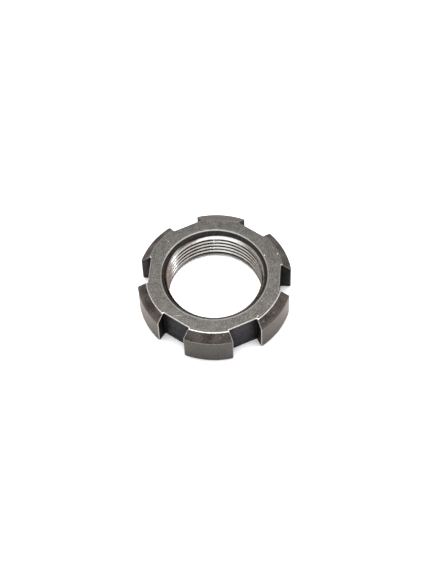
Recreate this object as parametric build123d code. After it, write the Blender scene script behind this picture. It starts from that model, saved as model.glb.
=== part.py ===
"""Slotted round lock nut, turned from bar and milled with six spanner slots.

Millimetres. The axis is Z, the nut stands on Z = 0 and the first slot lies on +X.
The bore is left plain at the crest radius of an M27 x 1.5 thread.
"""
import math
import os

from build123d import *

# Turned ring
outer_radius = 21.0
height = 10.5
land_radius = 18.65          # where the flat top ends and the outer chamfer starts
chamfer_height = 2.05

# Bore, with a 45 degree lead-in cone at each end that reaches past the thread's root
bore_radius = 12.69
upper_cone_radius = 14.57
upper_cone_depth = 1.88
lower_cone_radius = 13.67
lower_cone_depth = 0.98

# Spanner slots
slot_count = 6
slot_width = 8.2
slot_floor = 17.7            # distance from the axis to the flat floor
slot_root_round = 0.3

# Edges: rounded on the lathe, broken by hand along the slots
rim_round = 0.6              # both rims of the flat top
shoulder_round = 0.4         # between chamfer and outer wall
foot_round = 0.5             # outer edge that the nut stands on
bore_foot_round = 0.15
slot_edge_break = 0.25


def section_corners():
    """Corners of the half section as (radius, height, rounding)."""
    return [
        (bore_radius, lower_cone_depth, 0),
        (lower_cone_radius, 0, bore_foot_round),
        (outer_radius, 0, foot_round),
        (outer_radius, height - chamfer_height, shoulder_round),
        (land_radius, height, rim_round),
        (upper_cone_radius, height, rim_round),
        (bore_radius, height - upper_cone_depth, 0),
    ]


def turned_ring():
    """The ring as it leaves the lathe, its rims already rounded."""
    corners = section_corners()
    with BuildPart() as ring:
        with BuildSketch(Plane.XZ) as section:
            with BuildLine():
                Polyline(*[(x, z) for x, z, _ in corners], close=True)
            make_face()
            for x, z, rounding in corners:
                if rounding:
                    corner = section.vertices().sort_by_distance(Vector(x, z))[0]
                    fillet(corner, rounding)
        revolve(axis=Axis.Z)
    return ring.part


def slot_cutters():
    """One bar for each slot, from its floor to outside the ring."""
    reach = outer_radius + 2 - slot_floor
    with BuildPart() as cutters:
        with BuildSketch():
            with PolarLocations(slot_floor + reach / 2, slot_count):
                Rectangle(reach, slot_width)
        extrude(amount=height)
        roots = cutters.edges().filter_by(Axis.Z).filter_by(
            lambda edge: math.hypot(edge.center().X, edge.center().Y) < outer_radius)
        fillet(roots, slot_root_round)
    return cutters.part


def lies_on_slot(point):
    """True for a point on the floor, the root or a wall of any slot."""
    step = 2 * math.pi / slot_count
    angle = math.atan2(point.Y, point.X)
    angle -= step * round(angle / step)
    radius = math.hypot(point.X, point.Y)
    along, across = radius * math.cos(angle), abs(radius * math.sin(angle))
    half = slot_width / 2
    on_floor = abs(along - slot_floor) < 0.001 and across < half
    on_wall = abs(across - half) < 0.001 and along > slot_floor
    centre_along, centre_across = slot_floor + slot_root_round, half - slot_root_round
    from_centre = math.hypot(along - centre_along, across - centre_across)
    on_root = abs(from_centre - slot_root_round) < 0.001
    return on_floor or on_wall or on_root


def slot_outlines(nut):
    """Outer edges of the slots, without the upright joins inside them."""
    def is_outline(edge):
        if not all(lies_on_slot(edge.position_at(u)) for u in (0, 0.5, 1)):
            return False
        upright = abs(edge.tangent_at(0.5).Z) > 0.99
        inside = math.hypot(edge.center().X, edge.center().Y) < land_radius
        return not (upright and inside)
    return nut.edges().filter_by(is_outline)


def lock_nut():
    """The finished nut as one solid."""
    nut = turned_ring() - slot_cutters()
    nut = nut.chamfer(slot_edge_break, None, slot_outlines(nut))
    nut.label = "lock_nut"
    return nut


os.makedirs("parts", exist_ok=True)
export_step(lock_nut(), "parts/lock_nut.step")
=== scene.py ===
import math
import bmesh
import bpy
from mathutils import Matrix, Vector
from mathutils.geometry import tessellate_polygon


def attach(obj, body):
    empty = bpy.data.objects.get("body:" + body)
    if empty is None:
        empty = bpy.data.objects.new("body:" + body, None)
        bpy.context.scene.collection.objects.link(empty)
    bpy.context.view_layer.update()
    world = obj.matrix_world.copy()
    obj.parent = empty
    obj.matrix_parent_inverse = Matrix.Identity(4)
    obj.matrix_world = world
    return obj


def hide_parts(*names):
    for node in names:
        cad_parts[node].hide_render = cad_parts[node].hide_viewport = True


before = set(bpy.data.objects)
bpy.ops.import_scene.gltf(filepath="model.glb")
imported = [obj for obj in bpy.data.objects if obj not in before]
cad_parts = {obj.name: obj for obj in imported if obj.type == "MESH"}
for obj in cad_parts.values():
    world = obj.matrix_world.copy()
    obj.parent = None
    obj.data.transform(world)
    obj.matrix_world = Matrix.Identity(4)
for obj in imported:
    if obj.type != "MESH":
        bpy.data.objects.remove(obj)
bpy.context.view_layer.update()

mm = 0.001
weldDistance = 1e-7   # metres
fullTurn = 2 * math.pi

# The nut's body in millimetres, with the sizes of the solid it stands for
nut = {
    "outerRadius": 21.0,
    "height": 10.5,
    "landRadius": 18.65,      # outer end of the flat top
    "chamferHeight": 2.05,
    "footRound": 0.5,
    "shoulderRound": 0.4,
    "rimRound": 0.6,
    "slotCount": 6,
    "slotWidth": 8.2,
    "slotFloor": 17.7,
    "slotRoot": 0.3,
    "slotRootLimit": 0.9,     # share of the wall's length, where that is short
    "slotEdge": 0.25,
    # How finely the rounds are divided
    "footSteps": 8,
    "shoulderSteps": 6,
    "rimSteps": 10,
    "slotRootSteps": 5,
    "slotEdgeSteps": 6,
    "lugSteps": 40,
    # Points along the flat stretches, as shares of their length
    "floorShares": (0, 0.25, 0.5, 0.75, 0.95),   # from the middle of a slot's floor to its root
    "wallShares": (0.15, 0.5, 0.85),             # from the root to the lug's corner
    "levelShares": (0.2, 0.35, 0.5, 0.65, 0.835, 0.86, 0.89, 0.93),
    "levelGap": 0.006,                           # levels closer than this count as one
    "pastEdge": 1.3,                             # one level is this many slot edges in
    # Where the finishes meet
    "topFinishDepth": 0.12,                      # down the rim from the flat top
    "chamferFinishReach": 0.05,                  # down the wall from the shoulder's corner
}
slotStep = fullTurn / nut["slotCount"]

# How far the black is rubbed off the edges, lug by lug and slot by slot: partly real wear, partly a painted
# highlight raised where the edges should catch light.
# Slot 0 is on +X, lug 0 is the next one anticlockwise, and so on round.
rubbingAndSheen = {
    "lugRim": [0.34, 0.3, 0.5, 0.72, 0.88, 0.7],
    "lugShoulder": [0.14, 0.12, 0.2, 0.4, 0.42, 0.4],
    "lugCorner": [0.4, 0.3, 0.4, 0.75, 0.85, 0.75],
    "slotRim": [0.6, 0.3, 0.3, 0.75, 1.4, 1.3],
    "boreRim": [0.6, 0.96, 0.98, 0.52, 0.7, 0.72],      # in the slots' directions: towards the cone
    "boreRimTop": [0.36, 0.02, 0.0, 0.26, 0.74, 0.84],  # and towards the flat top
    "foot": 0.12,
}

# The outside's film, painted shade and painted light. Painted shade darkens the slots' floors towards
# their roots, the roots and the walls; painted light makes a lighter band near the side lugs' shoulders;
# the back lug has a real brown film. A zone is how strong it is, then where it starts, is full, fades
# and is gone. Some only start, and some only fade.
filmAndShade = {
    # painted shade in the slots: on the floor towards the roots, in the roots and on the walls
    "floor": (0.6, 2.2, 3.8),                    # by the distance from the middle of the floor
    "root": 0.8,
    "wall": 0.45,
    # the slot whose walls get no painted shade
    "unshadedWallSlot": 3,
    # painted light: a lighter band near these lugs' shoulders, standing in for the shading of a softer
    # shoulder
    "sideLugs": (3, 5),
    "sideShoulderLight": (0.45, 8.2, 8.4, 8.55, 9.4),   # by height
    "backLug": 1,
    "backTop": (0.65, 8.2, 8.6),
}

# The bore: cones at both ends, and the thread that the solid leaves out
bore = {
    "pitch": 1.5,
    "crestRadius": 12.69,
    "rootRadius": 13.33,
    "crestFlat": 0.5,         # share of the pitch
    "rootFlat": 0.04,
    "crestBreak": 0.05,
    "flankShares": (0.3, 0.6),   # points up each flank
    "startTurn": 0.69,        # where the groove starts round the axis
    "hand": -1,               # left-hand: rises clockwise seen from above
    "fadeFrom": 0.9,          # the groove runs out between these depths below the top
    "fadeTo": 0.6,
    "footFadeFrom": 2.3,      # and between these heights above the foot
    "footFadeTo": 1.75,
    "upperConeRadius": 14.57,
    "upperConeDepth": 1.88,
    "lowerConeRadius": 13.67,
    "lowerConeDepth": 0.98,
    "lowerRimRound": 0.15,
    "lowerRimSteps": 4,
    "rootClearance": 0.22,    # the cones' own rings end this far outside the thread's root
    "flatRadius": 20,         # any place on the flat faces outside the rims
    "columns": 360,
    "crossingSteps": 24,      # halvings that find where thread and cone cross
    "ringTouch": 0.001,       # a ring this close to a cone lies on it,
    "faceTouch": 0.002,       # so does a face this close,
    "grooveClear": 0.003,     # and a point this far off it lies in the groove
    "crestTouch": 0.01,       # a face this close to the crests' radius is crest
    # How worn and how brightly painted the upper rim is, from just down the cone and then step by step out
    # to the flat top: partly real wear, partly a painted highlight
    "wearAndSheenReach": 0.15,
    "rimWearAndSheen": [0, 0.72, 1.1, 1.15, 1.05, 0.52, 0.16, 0.03, 0, 0, 0, 0],
    "rimTopWearAndSheen": [0, 0.2, 0.35, 0.5, 0.7, 0.85, 0.95, 0.95, 0.8, 0.55, 0.25, 0],
    # Radius down to which the upper cone is still black, by the angle round it
    "skimEdge": [(0, 13.6), (30, 13.72), (39, 13.64), (47, 13.56), (57, 13.43), (69, 13.37), (82, 13.33),
                 (97, 13.26), (112, 13.2), (125, 13.24), (137, 13.38), (147, 13.44), (157, 13.3),
                 (167, 13.24), (190, 13.15), (250, 13.2), (320, 13.35), (347, 13.5), (360, 13.6)],
}

# Where the bore is bare, polished and stained, and where painted highlights and a painted glint lie on it,
# by the angle round it in degrees: 0 on +X, 90 at the back of the photograph. Zones are written as in
# filmAndShade. Heights and radii in millimetres.
zones = {
    "bareCrests": (0.9, 146, 152, 205, 230),
    "glintTurn": 96,                             # a painted glint: a narrow bright line across the upper crests
    "glintOnCrests": 0.75,
    "glintHeights": (6, 8),
    # the same painted glint as a bright line on the flanks, and how far it reaches
    "glintOnFlanks": 0.7,
    "glintFlankReach": 1.5,
    "landMiddle": 97,                            # the land is worn least high here
    "landBare": 0.52,
    "landSideBare": 0.45,                        # added towards the sides
    "landHeights": (0.95, 2.1),
    "landLeft": (0.55, 118, 142),
    "landLeftHeights": (2.0, 2.6),
    "mouthStart": (44, 66),                      # where the groove opens into the cone
    "mouthEnd": (115, 125),
    "mouthSlant": 16,                            # degrees that the end comes sooner for each
    "mouthRadius": 13,                           # millimetre outside this radius
    "skimRight": (0.55, 50, 72),
    "skimLeft": ((0.35, 112, 123), (0.5, 138, 147)),
    "skimSoftness": 0.06,
    # painted shade: a dark line along the groove's root where it meets the cone, on the right
    "rootShadeLine": (0.8, 50, 70),
    "rootShadeRadii": (13.0, 13.15),
    # the groove's mouth: fresh cut, lightened further by a painted highlight
    "polishSheenStart": (46, 74),
    "polishSheenEnd": (112, 123),
    "polishSheenHeights": (8.1, 8.4),
    # a painted highlight on some of the far flanks
    "highlitFlanks": (0.75, 64, 80, 86, 102),
    "stainLeft": (1, 157, 171, 215, 240),
    "stainBehind": (0.4, 110, 124, 138, 148),
    "stainRight": (0.9, 38, 68),
    "stainFront": (0.9, 310, 330),
    "stainThinner": (0.4, 8.4, 8.7),             # on the right it is thinner above these heights
}

steels = ["topSteel", "chamferSteel", "wallSteel", "slotSteel", "coneSteel", "cutThread", "threadCrest"]


def ramp(value, low, high):
    t = min(1.0, max(0.0, (value - low) / (high - low)))
    return t * t * (3 - 2 * t)


# A zone that starts and is full
def rising(zone, value):
    share, start, full = zone
    return share * ramp(value, start, full)


# A zone that fades and is gone
def fading(zone, value):
    share, fade, gone = zone
    return share * (1 - ramp(value, fade, gone))


# A zone that starts, is full, fades and is gone
def zoneAt(zone, value):
    return rising(zone[:3], value) * (1 - ramp(value, *zone[3:]))


def roundCorner(before, corner, after, radius, steps):
    before, corner, after = Vector(before), Vector(corner), Vector(after)
    u = (before - corner).normalized()
    v = (after - corner).normalized()
    half = u.angle(v) / 2
    centre = corner + (u + v).normalized() * radius / math.sin(half)
    first = corner + u * radius / math.tan(half) - centre
    last = corner + v * radius / math.tan(half) - centre
    return [centre + first.slerp(last, i / steps).normalized() * radius for i in range(steps + 1)]


# A value given for each slot's direction, blended between them
def aroundSlots(values, turn):
    place = turn / slotStep
    k = math.floor(place)
    here, there = values[k % len(values)], values[(k + 1) % len(values)]
    return here + (there - here) * (place - k)


# How much wear and painted highlight a rounded edge takes at step i of its turn: most at the middle, none at
# its ends
def acrossEdge(i, steps):
    return 1 - abs(2 * i / steps - 1)


# A column of the profile at height z
def valueAt(profile, z, column):
    for low, high in zip(profile, profile[1:]):
        if low[1] <= z <= high[1] and high[1] > low[1]:
            return low[column] + (high[column] - low[column]) * (z - low[1]) / (high[1] - low[1])
    return profile[-1][column]


# Half section of the outside, from the foot up to the flat top:
# radius, height, then how much of foot, shoulder and rim wear and painted highlight the point takes
def outerProfile():
    top, out = nut["height"], nut["outerRadius"]
    shoulder = (out, top - nut["chamferHeight"])
    land = (nut["landRadius"], top)
    corners = {"foot": ((0, 0), (out, 0), shoulder),
               "shoulder": ((out, 0), shoulder, land),
               "rim": (shoulder, land, (0, top))}
    rows = []
    for wearAndSheen, edge in enumerate(corners):
        steps = nut[edge + "Steps"]
        for i, p in enumerate(roundCorner(*corners[edge], nut[edge + "Round"], steps)):
            share = [0.0, 0.0, 0.0]
            share[wearAndSheen] = acrossEdge(i, steps)
            rows.append((p.x, p.y, *share))
    return rows


# How far the slots' rims have opened at height z
def slotInset(z):
    size = nut["slotEdge"]
    depth = max(0, min(z, nut["height"] - z))
    if depth >= size:
        return 0
    return size - math.sqrt(size ** 2 - (size - depth) ** 2)


# Wear and painted highlight of the slots' rims at height z
def slotRimShare(z):
    size = nut["slotEdge"]
    depth = max(0, min(z, nut["height"] - z))
    if depth >= size:
        return 0
    return 1 - abs(math.acos(1 - depth / size) / (math.pi / 4) - 1)


# One side of a slot on +X, from the middle of its floor out to the lug:
# x, y, what the stretch is, and how much of the corner's wear and painted highlight the point takes
def slotSide(radius, inset):
    half = nut["slotWidth"] / 2 + inset
    floor = nut["slotFloor"] - inset
    edge = nut["slotEdge"]
    wallEnd = math.sqrt((radius - edge) ** 2 - (half + edge) ** 2)
    root = min(nut["slotRoot"] + inset, nut["slotRootLimit"] * (wallEnd - floor))
    points = [(floor, (half - root) * s, "floor", 0) for s in nut["floorShares"]]
    steps = nut["slotRootSteps"]
    for i in range(steps + 1):
        a = math.pi - math.pi / 2 * i / steps
        points.append((floor + root + root * math.cos(a),
                       half - root + root * math.sin(a), "root", 0))
    for s in nut["wallShares"]:
        points.append((floor + root + (wallEnd - floor - root) * s, half, "wall", 0))
    steps = nut["slotEdgeSteps"]
    turnTo = math.atan2(half + edge, wallEnd)
    for i in range(steps + 1):
        a = -math.pi / 2 + (turnTo + math.pi / 2) * i / steps
        points.append((wallEnd + edge * math.cos(a),
                       half + edge + edge * math.sin(a), "corner", acrossEdge(i, steps)))
    return points


# Outline of the nut at one height: x, y, what the stretch to the next point is,
# how much of the corner's wear and painted highlight the point takes, and its slot and lug
def outline(radius, inset):
    side = slotSide(radius, inset)
    lugStart = math.atan2(side[-1][1], side[-1][0])
    loop = []
    for k in range(nut["slotCount"]):
        c, s = math.cos(k * slotStep), math.sin(k * slotStep)
        mirrored = [(x, -y, side[i - 1][2] if i else "floor", worn, k, k - 1)
                    for i, (x, y, _, worn) in enumerate(side)][::-1]
        whole = mirrored[:-1] + [(*p, k, k) for p in side]
        whole[-1] = (*whole[-1][:2], "lug", *whole[-1][3:])
        loop += [(c * x - s * y, s * x + c * y, *rest) for x, y, *rest in whole]
        for i in range(1, nut["lugSteps"]):
            a = k * slotStep + lugStart + (slotStep - 2 * lugStart) * i / nut["lugSteps"]
            loop.append((radius * math.cos(a), radius * math.sin(a), "lug", 0, k, k))
    return loop


# How stained and shaded a point of the outside is: painted shade in the slots, painted light near the side
# lugs' shoulders and a real brown film on the back lug
def outerStainAndShade(tag, x, y, z, slot, lug):
    if tag in ("lug", "corner"):
        if lug in filmAndShade["sideLugs"]:
            return zoneAt(filmAndShade["sideShoulderLight"], z)
        return rising(filmAndShade["backTop"], z) if lug == filmAndShade["backLug"] else 0
    if z > nut["height"] - nut["slotEdge"]:
        return 0
    if tag == "floor":
        across = abs(math.hypot(x, y) * math.sin(math.atan2(y, x) - slot * slotStep))
        return rising(filmAndShade["floor"], across)
    return 0 if tag == "wall" and slot == filmAndShade["unshadedWallSlot"] else filmAndShade[tag]


# The steel of a face of the outside, between two levels
def outerFinish(tag, z0, z1):
    top, z = nut["height"], (z0 + z1) / 2
    if tag not in ("lug", "corner"):
        return "topSteel" if z > top - nut["slotEdge"] else "slotSteel"
    if z > top - nut["topFinishDepth"]:
        return "topSteel"
    if z > top - nut["chamferHeight"] - nut["chamferFinishReach"]:
        return "chamferSteel"
    return "wallSteel"


def coneSlope(end):
    return (bore[end + "ConeRadius"] - bore["crestRadius"]) / bore[end + "ConeDepth"]


# The cones' radius at height z. Between the cones it is less than the crest's.
def coneRadius(z):
    upper = bore["upperConeRadius"] - coneSlope("upper") * (nut["height"] - z)
    lower = bore["lowerConeRadius"] - coneSlope("lower") * z
    return max(upper, lower)


# How far in from the nut's face a cone has come down to just outside the thread's root
def rootDepth(end):
    return (bore[end + "ConeRadius"] - bore["rootRadius"] - bore["rootClearance"]) / coneSlope(end)


# One pitch of the thread, as (share of the pitch, radius), from crest to crest
def threadPitch():
    crest, root = bore["crestRadius"], bore["rootRadius"]
    halfCrest, cut = bore["crestFlat"] / 2, bore["crestBreak"]
    flank = (1 - bore["crestFlat"] - bore["rootFlat"]) / 2
    slope = flank / (root - crest)
    radii = [crest + cut] + [crest + s * (root - crest) for s in bore["flankShares"]] + [root - cut]
    rows = [(s * (halfCrest - cut / bore["pitch"]), crest) for s in (-1, -0.5, 0, 0.5, 1)]
    rows += [(halfCrest + slope * (r - crest), r) for r in radii]
    rows.append((halfCrest + flank + cut / bore["pitch"], root))
    rows.append((1 - halfCrest - flank - cut / bore["pitch"], root))
    rows += [(1 - halfCrest - slope * (r - crest), r) for r in reversed(radii)]
    return rows


# Where the line from a point clear of the cones to one past a cone crosses it
def coneCrossing(clear, past):
    a, b = 0.0, 1.0
    for _ in range(bore["crossingSteps"]):
        m = (a + b) / 2
        r = clear[0] + (past[0] - clear[0]) * m
        z = clear[1] + (past[1] - clear[1]) * m
        a, b = (m, b) if r >= coneRadius(z) else (a, m)
    return [r, z]


# The thread rises one pitch a turn, so its rows join a pitch higher after each turn.
# The groove runs out near the top and near the foot. Rows past a cone lie on it, and
# the last of them sits where thread and cone cross.
def threadColumns():
    pitch, count, top = bore["pitch"], bore["columns"], nut["height"]
    rows = threadPitch()
    low, high = rootDepth("lower"), top - rootDepth("upper")
    turns = range(-3, int(top / pitch) + 2)       # enough for the whole height in every column
    columns = []
    for i in range(count):
        lift = pitch * (bore["hand"] * i / count + bore["startTurn"])
        column = []
        for k in turns:
            grooveDepth = top - lift - pitch * (k + 0.5)
            cut = ramp(grooveDepth, bore["fadeTo"], bore["fadeFrom"])
            cut *= ramp(top - grooveDepth, bore["footFadeTo"], bore["footFadeFrom"])
            column += [[bore["crestRadius"] + cut * (r - bore["crestRadius"]), lift + pitch * (k + share)]
                       for share, r in rows]
        clear = [r >= coneRadius(z) for r, z in column]
        placed = [list(p) for p in column]
        for j, (r, z) in enumerate(column):
            if clear[j]:
                continue
            placed[j][0] = coneRadius(z)
            for n in (j - 1, j + 1):
                if 0 <= n < len(column) and clear[n]:
                    placed[j] = coneCrossing(column[n], (r, z))
        columns.append(placed)
    return columns, len(rows), low, high


# How near a point is to the middle of the painted glint
def paintedGlintAt(turn, reach):
    return max(0, 1 - abs(turn - zones["glintTurn"]) / reach)


# The groove's mouth ends sooner the further out a point lies
def mouthTurn(turn, r):
    return turn + zones["mouthSlant"] * (r - zones["mouthRadius"])


# Where the blackening has come off the crests on the left, and a painted glint across the upper crests
def crestBareAndGlint(turn, z):
    paintedGlint = zones["glintOnCrests"] * paintedGlintAt(turn, 1) * ramp(z, *zones["glintHeights"])
    return max(paintedGlint, zoneAt(zones["bareCrests"], turn))


# The plain land below the last groove, worn from the foot up and higher away from
# the middle of the back
def landBareness(turn, z):
    side = 1 / max(0.5, math.cos(math.radians(turn - zones["landMiddle"]))) - 1
    low, high = zones["landHeights"]
    worn = (zones["landBare"] + zones["landSideBare"] * side) * (1 - ramp(z, low + side, high + side))
    return max(worn, rising(zones["landLeft"], turn) * (1 - ramp(z, *zones["landLeftHeights"])))


# The cone's lowest part, which the threading tool has skimmed, and the top groove that opens into it
def skimBareness(turn, r, z):
    edge = next(a[1] + (b[1] - a[1]) * (turn - a[0]) / (b[0] - a[0])
                for a, b in zip(bore["skimEdge"], bore["skimEdge"][1:]) if turn <= b[0])
    mouth = ramp(turn, *zones["mouthStart"]) * (1 - ramp(mouthTurn(turn, r), *zones["mouthEnd"]))
    right = fading(zones["skimRight"], turn)
    left = sum(rising(zone, turn) for zone in zones["skimLeft"])
    soft = zones["skimSoftness"]
    worn = max(mouth, right, left) * (1 - ramp(r, edge - soft, edge + soft))
    if r > coneRadius(z) + bore["grooveClear"]:
        worn = 1
    # painted shade: the dark line along the groove's root keeps the black there
    inner, outer = zones["rootShadeRadii"]
    rootShadeLine = fading(zones["rootShadeLine"], turn) if inner < r < outer else 0
    return worn * (1 - rootShadeLine)


# The freshest cut where the groove opens into the cone, lightened further by a painted highlight; a painted
# highlight on some of the far flanks; and the painted glint
def polishAndHighlightAt(turn, r, z):
    mouth = ramp(turn, *zones["polishSheenStart"]) * (1 - ramp(mouthTurn(turn, r), *zones["polishSheenEnd"]))
    mouth *= ramp(z, *zones["polishSheenHeights"])
    paintedGlint = zones["glintOnFlanks"] * paintedGlintAt(turn, zones["glintFlankReach"])
    return max(mouth, paintedGlint, zoneAt(zones["highlitFlanks"], turn))


# Brown stain inside the bore
def stainAt(turn, z=0):
    left = zoneAt(zones["stainLeft"], turn) + zoneAt(zones["stainBehind"], turn)
    right = fading(zones["stainRight"], turn) + rising(zones["stainFront"], turn)
    return max(left, right * (1 - rising(zones["stainThinner"], z)))


def addPoint(parts, x, y, z, rubbedAndSheen=0.0, bareAndSheen=0.0, stainedAndShaded=0.0, polishAndHighlight=0.0):
    parts["points"].append((x * mm, y * mm, z * mm))
    parts["rubbedAndSheen"].append(rubbedAndSheen)
    parts["bareAndSheen"].append(bareAndSheen)
    parts["stainedAndShaded"].append(stainedAndShaded)
    parts["polishAndHighlight"].append(polishAndHighlight)
    return len(parts["points"]) - 1


def addFace(parts, corners, name):
    kept = [c for i, c in enumerate(corners) if c != corners[i - 1]]
    if len(set(kept)) > 2:
        parts["faces"].append(kept)
        parts["finishes"].append(steels.index(name))


# Heights of the outside's levels: the profile's own, some through the slots' broken edges
# with one just past them, and some between
def outerLevels(profile):
    top, edge, steps = nut["height"], nut["slotEdge"], nut["slotEdgeSteps"]
    depths = [edge * (1 - math.cos(math.pi / 2 * i / steps)) for i in range(steps + 1)]
    depths.append(nut["pastEdge"] * edge)
    heights = sorted([row[1] for row in profile] + depths + [top - d for d in depths]
                     + [top * s for s in nut["levelShares"]])
    levels = [heights[0]]
    for z in heights:
        if z - levels[-1] > nut["levelGap"]:
            levels.append(z)
    levels[-1] = top
    return levels


def addOutside(parts):
    profile = outerProfile()
    levels = outerLevels(profile)
    rings = []
    for z in levels:
        radius, foot, shoulder, rim = [valueAt(profile, z, n) if z else profile[0][n] for n in (0, 2, 3, 4)]
        slotRim = slotRimShare(z)
        flat = z in (levels[0], levels[-1])
        ring = []
        for x, y, tag, corner, slot, lug in outline(radius, slotInset(z)):
            if tag in ("floor", "root", "wall") and not corner:
                rubbedAndSheen = slotRim * (rubbingAndSheen["slotRim"][slot] if z > nut["height"] / 2 else rubbingAndSheen["foot"])
            else:
                rubbedAndSheen = max(rim * rubbingAndSheen["lugRim"][lug], shoulder * rubbingAndSheen["lugShoulder"][lug],
                             foot * rubbingAndSheen["foot"], corner * rubbingAndSheen["lugCorner"][lug])
            stainedAndShaded = outerStainAndShade(tag, x, y, z, slot, lug)
            ring.append((addPoint(parts, x, y, z, 0 if flat else rubbedAndSheen, 0, stainedAndShaded), tag))
        rings.append(ring)
    for z0, z1, lower, upper in zip(levels, levels[1:], rings, rings[1:]):
        for i, (corner, tag) in enumerate(lower):
            n = (i + 1) % len(lower)
            addFace(parts, [corner, lower[n][0], upper[n][0], upper[i][0]], outerFinish(tag, z0, z1))
    return [p for p, _ in rings[0]], [p for p, _ in rings[-1]]


# A ring of points round the bore, with its shares of the upper rim's wear and painted highlight
def addRing(parts, r, z, coneShare=0.0, topShare=0.0):
    onCone = abs(r - coneRadius(z)) < bore["ringTouch"]
    ring = []
    for i in range(bore["columns"]):
        a = fullTurn * i / bore["columns"]
        rubbedAndSheen = max(coneShare * aroundSlots(rubbingAndSheen["boreRim"], a),
                     topShare * aroundSlots(rubbingAndSheen["boreRimTop"], a))
        stainedAndShaded = stainAt(math.degrees(a)) if onCone else 0
        ring.append(addPoint(parts, r * math.cos(a), r * math.sin(a), z, rubbedAndSheen, 0, stainedAndShaded))
    return ring


def addThreadPoint(parts, turn, r, z):
    if z > nut["height"] - bore["upperConeDepth"]:
        bareAndSheen = skimBareness(turn, r, z)
    else:
        bareAndSheen = max(crestBareAndGlint(turn, z), landBareness(turn, z))
    a = math.radians(turn)
    return addPoint(parts, r * math.cos(a), r * math.sin(a), z, 0, bareAndSheen,
                    stainAt(turn, z), polishAndHighlightAt(turn, r, z))


# The steel of a face between two neighbours in a column
def threadFinish(below, above):
    r, z = (below[0] + above[0]) / 2, (below[1] + above[1]) / 2
    onCone = coneRadius(z) >= r - bore["faceTouch"]
    if onCone and z < nut["height"] / 2:
        return "coneSteel"
    onCrest = r < bore["crestRadius"] + bore["crestTouch"]
    atMouth = min(below[1], above[1]) > nut["height"] - bore["upperConeDepth"]
    return "threadCrest" if onCrest or onCone or atMouth else "cutThread"


def addBore(parts):
    count, top = bore["columns"], nut["height"]
    columns, perPitch, low, high = threadColumns()
    upper = roundCorner((bore["crestRadius"], top - bore["upperConeDepth"]), (bore["upperConeRadius"], top),
                        (bore["flatRadius"], top), nut["rimRound"], nut["rimSteps"])
    lower = roundCorner((bore["flatRadius"], 0), (bore["lowerConeRadius"], 0),
                        (bore["crestRadius"], bore["lowerConeDepth"]),
                        bore["lowerRimRound"], bore["lowerRimSteps"])
    lowerRings = [addRing(parts, p.x, p.y) for p in lower] + [addRing(parts, coneRadius(low), low)]
    reach = upper[0].y - bore["wearAndSheenReach"]
    places = [(coneRadius(reach), reach)] + [tuple(p) for p in upper]
    upperRings = [addRing(parts, coneRadius(high), high)]
    upperRings += [addRing(parts, r, z, *shares)
                   for (r, z), *shares in zip(places, bore["rimWearAndSheen"], bore["rimTopWearAndSheen"])]
    ids = []
    for i, column in enumerate(columns):
        ids.append([lowerRings[-1][i] if z <= low else upperRings[0][i] if z >= high
                    else addThreadPoint(parts, 360 * i / count, r, z) for r, z in column])
    last = len(columns[0]) - 1
    for i in range(count):
        n, shift = (i + 1, 0) if i + 1 < count else (0, bore["hand"] * perPitch)
        for j in range(last):
            quad = [ids[i][j], ids[i][j + 1],
                    ids[n][max(0, min(j + 1 + shift, last))], ids[n][max(0, min(j + shift, last))]]
            addFace(parts, quad, threadFinish(columns[i][j], columns[i][j + 1]))
    for rings, names in ((lowerRings, ["wallSteel"] * bore["lowerRimSteps"] + ["coneSteel"]),
                         (upperRings, ["coneSteel"] * 2 + ["topSteel"] * nut["rimSteps"])):
        for a, b, name in zip(rings, rings[1:], names):
            for i in range(count):
                n = (i + 1) % count
                addFace(parts, [a[i], b[i], b[n], a[n]], name)
    return lowerRings[0], upperRings[-1]


def addFlat(parts, outer, inner):
    loops = [outer, inner]
    flat = [i for loop in loops for i in loop]
    corners = [[Vector(parts["points"][i]) for i in loop] for loop in loops]
    for triangle in tessellate_polygon(corners):
        addFace(parts, [flat[i] for i in triangle], "topSteel")


def makeNut():
    amounts = ("rubbedAndSheen", "bareAndSheen", "stainedAndShaded", "polishAndHighlight")
    parts = {"points": [], "faces": [], "finishes": [], **{name: [] for name in amounts}}
    outerFoot, outerTop = addOutside(parts)
    innerFoot, innerTop = addBore(parts)
    addFlat(parts, outerTop, innerTop)
    addFlat(parts, outerFoot, innerFoot)
    mesh = bpy.data.meshes.new("lock_nut_threaded")
    mesh.from_pydata(parts["points"], [], parts["faces"])
    mesh.polygons.foreach_set("material_index", parts["finishes"])
    for name in amounts:
        mesh.attributes.new(name, "FLOAT", "POINT").data.foreach_set("value", parts[name])
    welded = bmesh.new()
    welded.from_mesh(mesh)
    bmesh.ops.remove_doubles(welded, verts=welded.verts, dist=weldDistance)
    bmesh.ops.recalc_face_normals(welded, faces=welded.faces)
    # Edges that don't join two faces, on slivers in three short arcs where thread and cones meet
    loose = [e for e in welded.edges if not e.is_manifold]
    print("nut:", len(welded.verts), "points,", len(welded.faces), "faces,", len(loose), "open edges")
    welded.to_mesh(mesh)
    welded.free()
    mesh.shade_smooth()
    piece = bpy.data.objects.new("lock_nut_threaded", mesh)
    bpy.context.scene.collection.objects.link(piece)
    even = piece.modifiers.new("evenNormals", "WEIGHTED_NORMAL")
    even.weight = 80
    even.keep_sharp = True
    return piece


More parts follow.
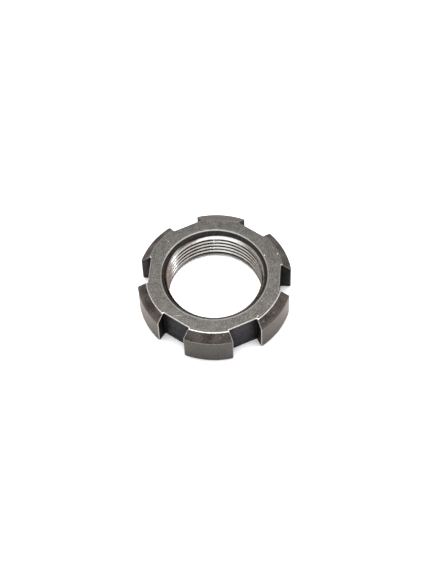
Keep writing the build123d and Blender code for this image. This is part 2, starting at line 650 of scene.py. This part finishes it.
# Blackened steel. Grain, cloud and height in millimetres. The stainAndShade colour is a real stain on the
# top, the cone and the back lug, painted light near the side lugs' shoulders, and painted shade in the
# slots.
finish = {
    "topSteel": {
        "dark": (0.016, 0.015, 0.0138), "light": (0.112, 0.107, 0.099), "edgeTint": (0.87, 0.87, 0.87),
        "stainAndShade": (0.1, 0.083, 0.075), "grain": 0.22, "cloud": 1.7, "cloudiness": 0.2,
        "roughness": (0.34, 0.44), "height": 0.008,
    },
    "chamferSteel": {
        "dark": (0.014, 0.011, 0.01), "light": (0.152, 0.13, 0.117), "edgeTint": (0.5, 0.5, 0.5),
        # its stainAndShade colour is the painted light near the side lugs' shoulders, besides the back lug's
        # brown film
        "stainAndShade": (0.16, 0.134, 0.12), "grain": 0.28, "cloud": 3.0, "cloudiness": 0.45,
        "roughness": (0.34, 0.42), "height": 0.008,
    },
    "wallSteel": {
        "dark": (0.05, 0.0485, 0.047), "light": (0.093, 0.0895, 0.086), "edgeTint": (1.0, 0.93, 0.87),
        "stainAndShade": (0.09, 0.08, 0.075), "grain": 0.3, "cloud": 2.2, "cloudiness": 0.2,
        "roughness": (0.32, 0.4), "height": 0.006,
    },
    "slotSteel": {
        "dark": (0.018, 0.017, 0.0182), "light": (0.072, 0.069, 0.0735), "edgeTint": (0.6, 0.6, 0.6),
        # its stainAndShade colour is painted shade in the slots' recesses
        "stainAndShade": (0.006, 0.0057, 0.006), "grain": 0.4, "cloud": 2.4, "cloudiness": 0.35,
        "roughness": (0.45, 0.55), "height": 0.01,
    },
    "coneSteel": {
        "dark": (0.018, 0.0168, 0.0165), "light": (0.054, 0.0505, 0.0485), "edgeTint": (1.0, 0.98, 0.96),
        "stainAndShade": (0.046, 0.037, 0.0325), "grain": 0.5, "cloud": 1.8, "cloudiness": 0.2,
        "roughness": (0.45, 0.55), "height": 0.008,
    },
}

# How it looks where the black is gone, and where edges carry a painted highlight. It turns tan first and
# then bright.
bareAndSheenSteel = {
    "colour": (0.51, 0.503, 0.485),
    "tan": (0.175, 0.16, 0.142),
    "roughness": 0.34,
    "patch": 0.5,                 # size in millimetres
    "ragged": 0.35,
    "shows": (0.08, 0.75),        # how much wear and highlight starts to show, and how much bares it
    "tanRange": (0, 0.4),
    "brightRange": (0.3, 1),
}

# The cut thread: freshly cut, dulled, stained and polished, with a painted highlight in the polish colour,
# and the crests that kept their black
cutSteel = {
    "colour": (0.66, 0.64, 0.62),
    "dull": (0.56, 0.535, 0.505),
    "ruddy": (0.37, 0.28, 0.235),     # stain on the left
    "brown": (0.43, 0.378, 0.33),     # and on the right
    "stainChange": (-5, 5),           # one turns into the other between these places across the bore
    "polishAndHighlight": (0.96, 0.955, 0.945),
    "roughness": (0.12, 0.18),
    "marks": 0.05,                    # spacing of the tool's rings
    "markHeight": 0.002,
    "ringWaves": 2.0,                 # how fast the rings change for each radian round the bore,
    "chatterWaves": 26.0,             # the chatter too,
    "chatterRise": 500.0,             # and the chatter for each metre up it
    "blotch": 0.7,
    "blotchContrast": (0.36, 0.62),
    "blotchStrength": (0.55, 1.2),
    "black": (0.018, 0.0165, 0.016),
    "blackEdgeTint": (0.3, 0.3, 0.3),
}

# The middle part of each noise's values, spread over 0 to 1
contrast = {"grain": (0.34, 0.66), "cloud": (0.3, 0.7), "rings": (0.3, 0.7), "chatter": (0.35, 0.65)}

# Small nicks in the top and the chamfer, and one scratch:
# x, y, turn in degrees, half length, half width, how bare
nicks = {
    "topSteel": [
        (13.02, 6.98, 0, 0.26, 0.2, 0.6),
        (16.6, 7.72, 20, 0.26, 0.2, 0.6),
        (12.6, -12.51, 50, 0.24, 0.14, 0.7),
        (-8.34, -13.82, 9, 1.3, 0.08, 0.42),
        (-13.5, 9.65, -40, 0.45, 0.13, 0.38),
        (13.41, -7.74, 10, 0.2, 0.14, 0.35),
        (15.07, -8.57, 30, 0.24, 0.16, 0.35),
    ],
    "chamferSteel": [
        (3.16, -19.38, 10, 0.3, 0.2, 0.34),
        (4.05, -18.75, -20, 0.24, 0.16, 0.4),
        (-2.4, -19.2, 60, 0.22, 0.14, 0.3),
        (16.73, -10.55, 40, 0.34, 0.22, 0.32),
        (14.19, -13.57, 30, 0.4, 0.2, 0.36),
        (15.62, -13.69, -30, 0.24, 0.16, 0.32),
        (-17.3, -8.9, 70, 0.3, 0.18, 0.3),
    ],
}
nickEdge = (1.2, 0.5)   # a nick fades in between these shares of its size


def setInputs(tree, node, inputs):
    for key, value in inputs.items():
        if isinstance(value, bpy.types.NodeSocket):
            tree.links.new(value, node.inputs[key])
        else:
            node.inputs[key].default_value = value


def addNode(tree, kind, inputs=None, **settings):
    node = tree.nodes.new(kind)
    for key, value in settings.items():
        setattr(node, key, value)
    setInputs(tree, node, inputs or {})
    return node


def calculate(tree, operation, a, b=0.0, clamp=False):
    node = addNode(tree, "ShaderNodeMath", {0: a, 1: b}, operation=operation, use_clamp=clamp)
    return node.outputs[0]


def multiply(tree, a, b, clamp=False):
    return calculate(tree, "MULTIPLY", a, b, clamp)


def mixValue(tree, share, a, b):
    return addNode(tree, "ShaderNodeMix", {0: share, 2: a, 3: b}).outputs[0]


def mixColour(tree, share, a, b):
    a, b = [c if isinstance(c, bpy.types.NodeSocket) else (*c, 1) for c in (a, b)]
    return addNode(tree, "ShaderNodeMix", {0: share, 6: a, 7: b}, data_type="RGBA").outputs[2]


def spread(tree, value, low, high, newLow=0.0, newHigh=1.0):
    node = addNode(tree, "ShaderNodeMapRange", {"Value": value, "From Min": low, "From Max": high,
                                                "To Min": newLow, "To Max": newHigh})
    return node.outputs["Result"]


def addNoise(tree, place, scale, detail, roughness=0.5):
    node = addNode(tree, "ShaderNodeTexNoise", {"Vector": place, "Scale": scale, "Detail": detail,
                                                "Roughness": roughness})
    return node.outputs[0]


# An amount that the mesh carries in its points
def readAmount(tree, name):
    return addNode(tree, "ShaderNodeAttribute", attribute_name=name).outputs["Fac"]


def newGroup(name, inputs, outputs):
    tree = bpy.data.node_groups.new(name, "ShaderNodeTree")
    for label, kind, value in inputs:
        socket = tree.interface.new_socket(label, in_out="INPUT", socket_type=kind)
        if value is not None:
            socket.default_value = value
    for label, kind in outputs:
        tree.interface.new_socket(label, in_out="OUTPUT", socket_type=kind)
    return tree, tree.nodes.new("NodeGroupInput").outputs, tree.nodes.new("NodeGroupOutput").inputs


# Uneven blackening: soft clouds with a finer grain over them
def makeBlackening():
    tree, given, result = newGroup("blackening", [
        ("Place", "NodeSocketVector", None), ("Grain", "NodeSocketFloat", 2500.0),
        ("Cloud", "NodeSocketFloat", 500.0), ("Cloudiness", "NodeSocketFloat", 0.2)],
        [("Tone", "NodeSocketFloat"), ("Height", "NodeSocketFloat")])
    grain = addNoise(tree, given["Place"], given["Grain"], 2.5, 0.6)
    cloud = addNoise(tree, given["Place"], given["Cloud"], 2.0)
    fine = spread(tree, grain, *contrast["grain"])
    soft = spread(tree, cloud, *contrast["cloud"])
    tree.links.new(mixValue(tree, given["Cloudiness"], fine, soft), result["Tone"])
    tree.links.new(grain, result["Height"])
    return tree


# Bare metal along the edges, partly real wear and partly a painted highlight, from the mesh's own
# rubbedAndSheen amount, broken up by a noise.
# The noise stays within about a quarter of its middle, so four times that is a full swing.
def makeEdgeWearAndSheen():
    tree, given, result = newGroup("edgeWearAndSheen", [
        ("Place", "NodeSocketVector", None), ("Patch", "NodeSocketFloat", 2000.0),
        ("Ragged", "NodeSocketFloat", 0.35)], [("BareAndSheen", "NodeSocketFloat")])
    rubbedAndSheen = readAmount(tree, "rubbedAndSheen")
    patch = addNoise(tree, given["Place"], given["Patch"], 3.0, 0.6)
    swing = multiply(tree, calculate(tree, "SUBTRACT", patch, 0.5), given["Ragged"])
    swing = multiply(tree, swing, 4.0)
    uneven = multiply(tree, rubbedAndSheen, calculate(tree, "ADD", swing, 1.0))
    tree.links.new(spread(tree, uneven, *bareAndSheenSteel["shows"]), result["BareAndSheen"])
    return tree


# One small bright mark at a place on the steel
def makeNick():
    tree, given, result = newGroup("nick", [
        ("Place", "NodeSocketVector", None), ("Centre", "NodeSocketVector", None),
        ("Turn", "NodeSocketVector", None), ("Size", "NodeSocketVector", None)],
        [("Mark", "NodeSocketFloat")])
    local = addNode(tree, "ShaderNodeMapping", {"Vector": given["Place"], "Location": given["Centre"],
                                                "Rotation": given["Turn"], "Scale": given["Size"]},
                    vector_type="TEXTURE")
    length = addNode(tree, "ShaderNodeVectorMath", {0: local.outputs[0]}, operation="LENGTH")
    tree.links.new(spread(tree, length.outputs["Value"], *nickEdge), result["Mark"])
    return tree


# Fine rings left by the threading tool, round the Z axis, and its slow chatter
def makeToolMarks():
    tree, given, result = newGroup("toolMarks", [
        ("Place", "NodeSocketVector", None), ("Spacing", "NodeSocketFloat", 20000.0)],
        [("Mark", "NodeSocketFloat"), ("Chatter", "NodeSocketFloat")])
    place = addNode(tree, "ShaderNodeSeparateXYZ", {0: given["Place"]}).outputs
    turn = calculate(tree, "ARCTAN2", place["Y"], place["X"])
    squares = calculate(tree, "ADD", multiply(tree, place["X"], place["X"]),
                        multiply(tree, place["Y"], place["Y"]))
    radius = calculate(tree, "SQRT", squares)
    along = multiply(tree, calculate(tree, "ADD", radius, place["Z"]), given["Spacing"])
    wrapped = addNode(tree, "ShaderNodeCombineXYZ", {
        "X": along, "Y": multiply(tree, turn, cutSteel["ringWaves"])})
    wide = addNode(tree, "ShaderNodeCombineXYZ", {
        "X": multiply(tree, turn, cutSteel["chatterWaves"]),
        "Y": multiply(tree, place["Z"], cutSteel["chatterRise"])})
    rings = addNoise(tree, wrapped.outputs[0], 1.0, 2.0)
    chatter = addNoise(tree, wide.outputs[0], 1.0, 2.0)
    tree.links.new(spread(tree, rings, *contrast["rings"]), result["Mark"])
    tree.links.new(spread(tree, chatter, *contrast["chatter"]), result["Chatter"])
    return tree


groups = {"blackening": makeBlackening(), "edgeWearAndSheen": makeEdgeWearAndSheen(), "nick": makeNick(),
          "toolMarks": makeToolMarks()}


def useGroup(tree, name, inputs):
    return addNode(tree, "ShaderNodeGroup", inputs, node_tree=groups[name]).outputs


def startMaterial(name):
    material = bpy.data.materials.new(name)
    material.use_nodes = True
    tree = material.node_tree
    shader = tree.nodes["Principled BSDF"]
    shader.inputs["Metallic"].default_value = 1.0
    place = addNode(tree, "ShaderNodeTexCoord").outputs["Object"]
    return material, tree, shader, place


def addBump(tree, shader, height, size):
    bump = addNode(tree, "ShaderNodeBump", {"Height": height, "Distance": size * mm, "Strength": 1.0})
    tree.links.new(bump.outputs[0], shader.inputs["Normal"])


# Height of the flat top, or of the chamfer, at a place
def upperHeight(x, y):
    fall = max(0, math.hypot(x, y) - nut["landRadius"]) / (nut["outerRadius"] - nut["landRadius"])
    return nut["height"] - nut["chamferHeight"] * fall


def makeBlackSteel(name):
    values = finish[name]
    material, tree, shader, place = startMaterial(name)
    black = useGroup(tree, "blackening", {"Place": place, "Grain": 1 / (values["grain"] * mm),
                                          "Cloud": 1 / (values["cloud"] * mm),
                                          "Cloudiness": values["cloudiness"]})
    wearAndSheen = useGroup(tree, "edgeWearAndSheen", {"Place": place, "Patch": 1 / (bareAndSheenSteel["patch"] * mm),
                                       "Ragged": bareAndSheenSteel["ragged"]})
    bareAndSheen = wearAndSheen["BareAndSheen"]
    for x, y, turn, length, width, bareness in nicks.get(name, []):
        nick = useGroup(tree, "nick", {"Place": place, "Centre": (x * mm, y * mm, upperHeight(x, y) * mm),
                                       "Turn": (0, 0, math.radians(turn)),
                                       "Size": (length * mm, width * mm, mm)})
        bareAndSheen = calculate(tree, "MAXIMUM", bareAndSheen, multiply(tree, nick["Mark"], bareness))
    steel = mixColour(tree, black["Tone"], values["dark"], values["light"])
    steel = mixColour(tree, readAmount(tree, "stainedAndShaded"), steel, values["stainAndShade"])
    thin = mixColour(tree, spread(tree, bareAndSheen, *bareAndSheenSteel["tanRange"]), steel, bareAndSheenSteel["tan"])
    colour = mixColour(tree, spread(tree, bareAndSheen, *bareAndSheenSteel["brightRange"]), thin, bareAndSheenSteel["colour"])
    smooth, rough = values["roughness"]
    satin = spread(tree, black["Tone"], 0, 1, rough, smooth)
    tree.links.new(colour, shader.inputs["Base Color"])
    tree.links.new(mixValue(tree, bareAndSheen, satin, bareAndSheenSteel["roughness"]), shader.inputs["Roughness"])
    shader.inputs["Specular Tint"].default_value = (*values["edgeTint"], 1)
    addBump(tree, shader, black["Height"], values["height"])
    return material


# The freshly cut flanks, dulled unevenly, with painted highlights, and the crests that kept their black,
# with a painted glint
def makeThreadSteel(name):
    material, tree, shader, place = startMaterial(name)
    marks = useGroup(tree, "toolMarks", {"Place": place, "Spacing": 1 / (cutSteel["marks"] * mm)})
    steel = mixColour(tree, marks["Chatter"], cutSteel["dull"], cutSteel["colour"])
    blotch = addNoise(tree, place, 1 / (cutSteel["blotch"] * mm), 2.0)
    blotch = spread(tree, blotch, *cutSteel["blotchContrast"], *cutSteel["blotchStrength"])
    stainedAndShaded = multiply(tree, readAmount(tree, "stainedAndShaded"), blotch, clamp=True)
    across = addNode(tree, "ShaderNodeSeparateXYZ", {0: place}).outputs["X"]
    rightness = spread(tree, across, *[x * mm for x in cutSteel["stainChange"]])
    steel = mixColour(tree, stainedAndShaded, steel, mixColour(tree, rightness, cutSteel["ruddy"], cutSteel["brown"]))
    steel = mixColour(tree, readAmount(tree, "polishAndHighlight"), steel, cutSteel["polishAndHighlight"])
    if name == "threadCrest":
        steel = mixColour(tree, readAmount(tree, "bareAndSheen"), cutSteel["black"], steel)
        shader.inputs["Specular Tint"].default_value = (*cutSteel["blackEdgeTint"], 1)
    tree.links.new(steel, shader.inputs["Base Color"])
    tree.links.new(spread(tree, marks["Mark"], 0, 1, *cutSteel["roughness"]), shader.inputs["Roughness"])
    addBump(tree, shader, marks["Mark"], cutSteel["markHeight"])
    return material


piece = makeNut()
for name in steels:
    piece.data.materials.append(makeBlackSteel(name) if name in finish else makeThreadSteel(name))
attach(piece, "root")
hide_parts("lock_nut")
print("nut made")

# Camera as fitted to the photograph's edges, in the nut's own frame
camera = {
    "lens": 97.29,
    "sensor": 36,
    "distance": 427.3,
    "elevation": 57.25,
    "roll": -2.71,
    "target": (-0.28, 3.01),   # before the nut's turn
    "nutTurn": 7.27,
    "clip": (0.01, 10),        # metres
}


def makeCamera():
    turnBack = Matrix.Rotation(math.radians(camera["nutTurn"]), 3, "Z")
    elevation, roll = math.radians(camera["elevation"]), math.radians(camera["roll"])
    back = Vector((0, -math.cos(elevation), math.sin(elevation)))
    right = Vector((1, 0, 0))
    up = back.cross(right)
    axisX = turnBack @ (math.cos(roll) * right + math.sin(roll) * up)
    axisY = turnBack @ (math.cos(roll) * up - math.sin(roll) * right)
    back = turnBack @ back
    place = turnBack @ Vector((*camera["target"], 0)) + back * camera["distance"]
    data = bpy.data.cameras.new("camera")
    data.lens = camera["lens"]
    data.sensor_width = camera["sensor"]
    data.clip_start, data.clip_end = camera["clip"]
    seen = bpy.data.objects.new("camera", data)
    seen.matrix_world = Matrix.Translation(place * mm) @ Matrix((axisX, axisY, back)).transposed().to_4x4()
    bpy.context.scene.collection.objects.link(seen)
    bpy.context.scene.camera = seen


makeCamera()

# Lamps by their side and height as the camera sees them: 0 is to the right, 90 behind the nut
studio = {
    "floorSize": 3.0,
    "floorColour": (0.9, 0.9, 0.9),
    "floorRoughness": 0.9,
    # Painted light on the floor: brighter inside the nut and brightest along the foot of its far wall, where
    # it hides the nut's shade
    "floorSeen": (1.09, 1.1, 1.12),    # a little overexposed where the camera sees it,
    "boreFloorSeen": (1.5, 1.5, 1.5),  # more inside the nut
    "footFloorSeen": (2.6, 2.6, 2.6),  # and most along the foot of its far wall
    "footEdge": (12.2, 13),            # radii between which the second turns into the third
    "boreEdge": (14.5, 17),            # and the inside into the outside
    "skyStrength": 1.0,
    "softbox": {"size": 0.6, "distance": 0.8, "azimuth": 90, "elevation": 80, "radiance": 6.5},
    "sideLamp": {"size": 0.036, "distance": 0.8, "azimuth": 4, "elevation": 44, "radiance": 90.0},
    "frontLamp": {"size": 0.01, "distance": 0.8, "azimuth": -94, "elevation": 63, "radiance": 200.0},
}


def makeFloor():
    size = studio["floorSize"] / 2
    corners = [(-size, -size, 0), (size, -size, 0), (size, size, 0), (-size, size, 0)]
    mesh = bpy.data.meshes.new("studioFloor")
    mesh.from_pydata(corners, [], [(0, 1, 2, 3)])
    floor = bpy.data.objects.new("studioFloor", mesh)
    bpy.context.scene.collection.objects.link(floor)
    paint = bpy.data.materials.new("floorPaint")
    paint.use_nodes = True
    tree = paint.node_tree
    shader = tree.nodes["Principled BSDF"]
    seen = addNode(tree, "ShaderNodeLightPath").outputs["Is Camera Ray"]
    place = addNode(tree, "ShaderNodeTexCoord").outputs["Object"]
    away = addNode(tree, "ShaderNodeVectorMath", {0: place}, operation="LENGTH").outputs["Value"]
    pastFoot, pastBore = [spread(tree, away, *[r * mm for r in studio[edge]])
                          for edge in ("footEdge", "boreEdge")]
    # painted light inside the nut and along its foot
    inside = mixColour(tree, pastFoot, studio["boreFloorSeen"], studio["footFloorSeen"])
    bright = mixColour(tree, pastBore, inside, studio["floorSeen"])
    colour = mixColour(tree, seen, studio["floorColour"], bright)
    tree.links.new(colour, shader.inputs["Base Color"])
    shader.inputs["Roughness"].default_value = studio["floorRoughness"]
    shader.inputs["Specular IOR Level"].default_value = 0.0
    mesh.materials.append(paint)


def makeSky():
    world = bpy.data.worlds.new("studioSky")
    bpy.context.scene.world = world
    world.use_nodes = True
    background = world.node_tree.nodes["Background"]
    background.inputs["Color"].default_value = (1, 1, 1, 1)
    background.inputs["Strength"].default_value = studio["skyStrength"]


def makeLamp(name):
    values = studio[name]
    azimuth = math.radians(values["azimuth"] + camera["nutTurn"])
    elevation = math.radians(values["elevation"])
    away = Vector((math.cos(azimuth) * math.cos(elevation), math.sin(azimuth) * math.cos(elevation),
                   math.sin(elevation)))
    data = bpy.data.lights.new(name, "AREA")
    data.shape = "SQUARE"
    data.size = values["size"]
    data.energy = values["radiance"] * math.pi * values["size"] ** 2
    lamp = bpy.data.objects.new(name, data)
    lamp.location = away * values["distance"]
    lamp.rotation_euler = away.to_track_quat("Z", "Y").to_euler()
    bpy.context.scene.collection.objects.link(lamp)


makeFloor()
makeSky()
for name in ("softbox", "sideLamp", "frontLamp"):
    makeLamp(name)
bpy.context.scene.view_settings.view_transform = "Standard"
print("studio made")
